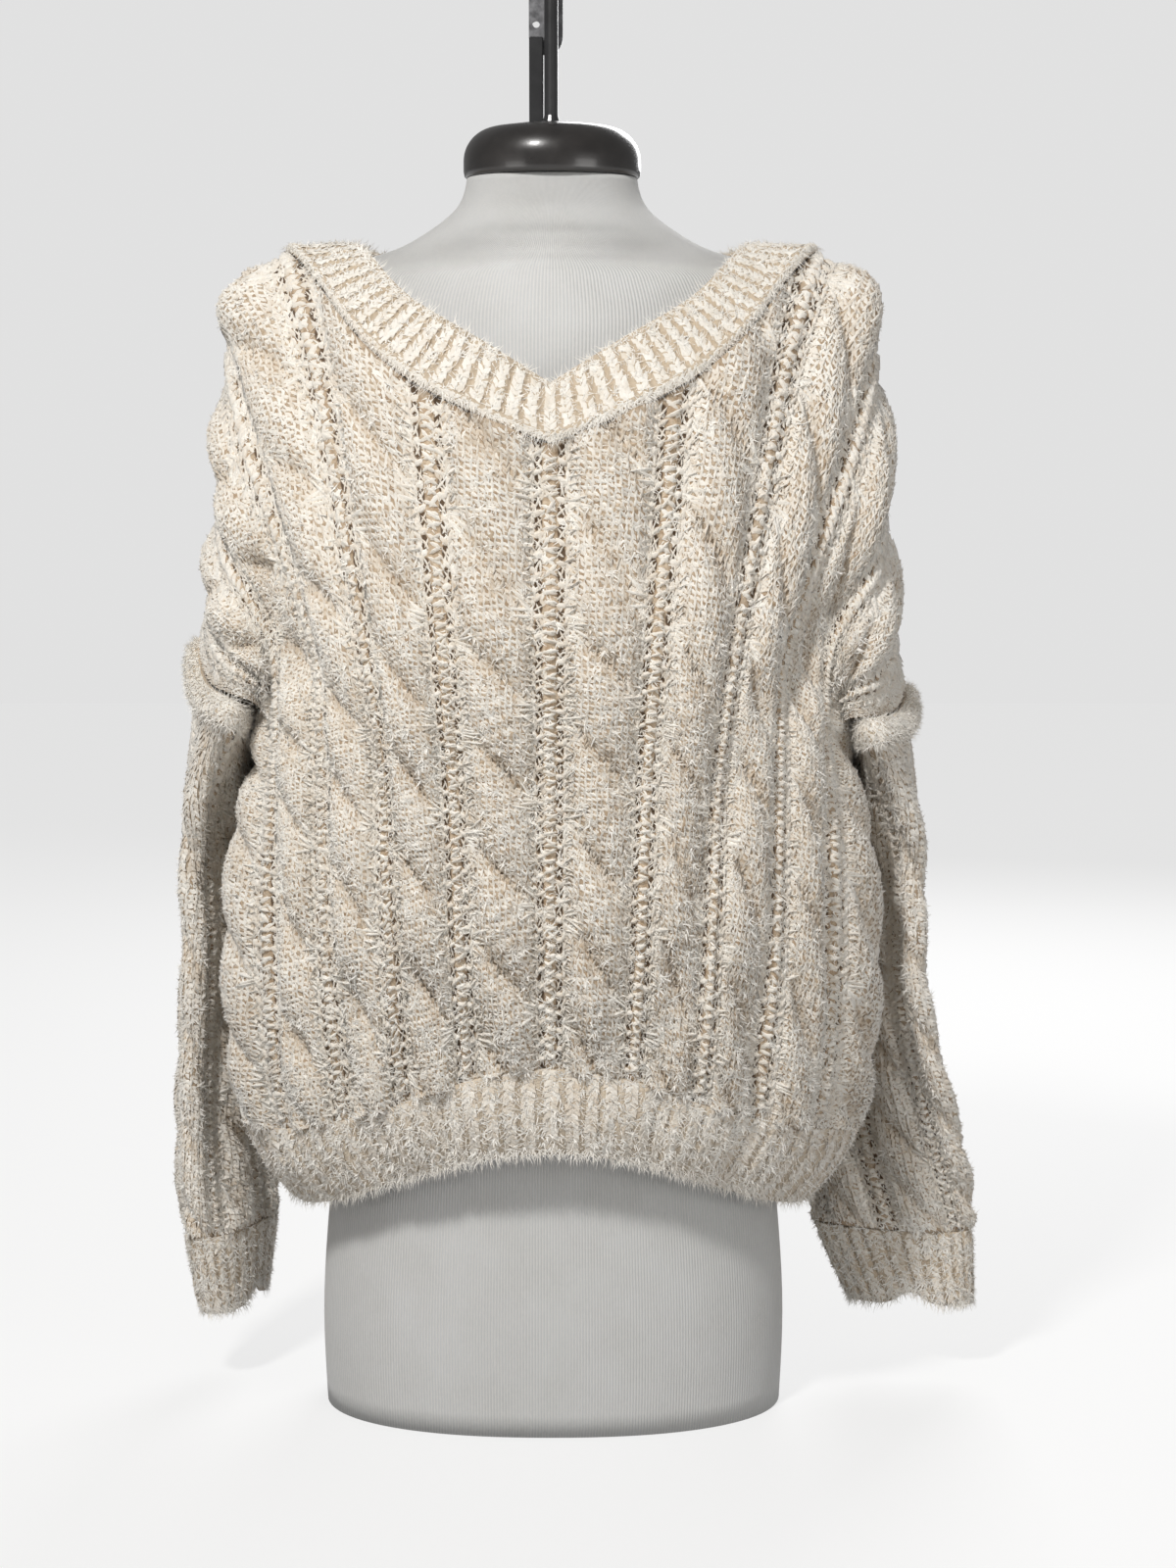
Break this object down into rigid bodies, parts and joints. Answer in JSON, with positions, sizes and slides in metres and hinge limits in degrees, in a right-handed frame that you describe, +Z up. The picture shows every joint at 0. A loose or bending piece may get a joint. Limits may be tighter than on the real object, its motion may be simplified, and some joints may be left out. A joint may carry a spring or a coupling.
{
  "type": "cropped v-neck sweater on dress form",
  "caption": "Slightly cropped v-neck sweater in chunky cable and ladder knit with dropped sleeves, worn by a limbless dress form with a domed neck cap and rod.",
  "frame": {"origin": "centre of the dress form's flat base", "axes": "+Z up along the form, -Y towards the front of the sweater, +X to the viewer's right"},
  "size_m": [0.5332, 0.2966, 0.915],
  "materials": {
    "cream_knit": "fuzzy cream chenille cable knit",
    "cream_ribbing": "fuzzy cream chenille ribbing",
    "form_linen": "pale fine knit cover",
    "black_gloss": "semi-gloss black",
    "black_tube": "black enamel",
    "dark_steel": "satin dark grey"
  },
  "bodies": {
    "root": {"front_panel": "cream_knit", "back_panel": "cream_knit", "sleeve_left": "cream_knit", "sleeve_right": "cream_knit", "armhole_welt_left": "cream_ribbing", "armhole_welt_right": "cream_ribbing", "neckband": "cream_ribbing", "hem_rib": "cream_ribbing", "cuff_left": "cream_ribbing", "cuff_right": "cream_ribbing", "form_torso": "form_linen", "neck_cap": "black_gloss", "cap_rod": "black_tube", "rod_channel": "black_tube", "rod_strap": "dark_steel"}
  },
  "joints": []
}
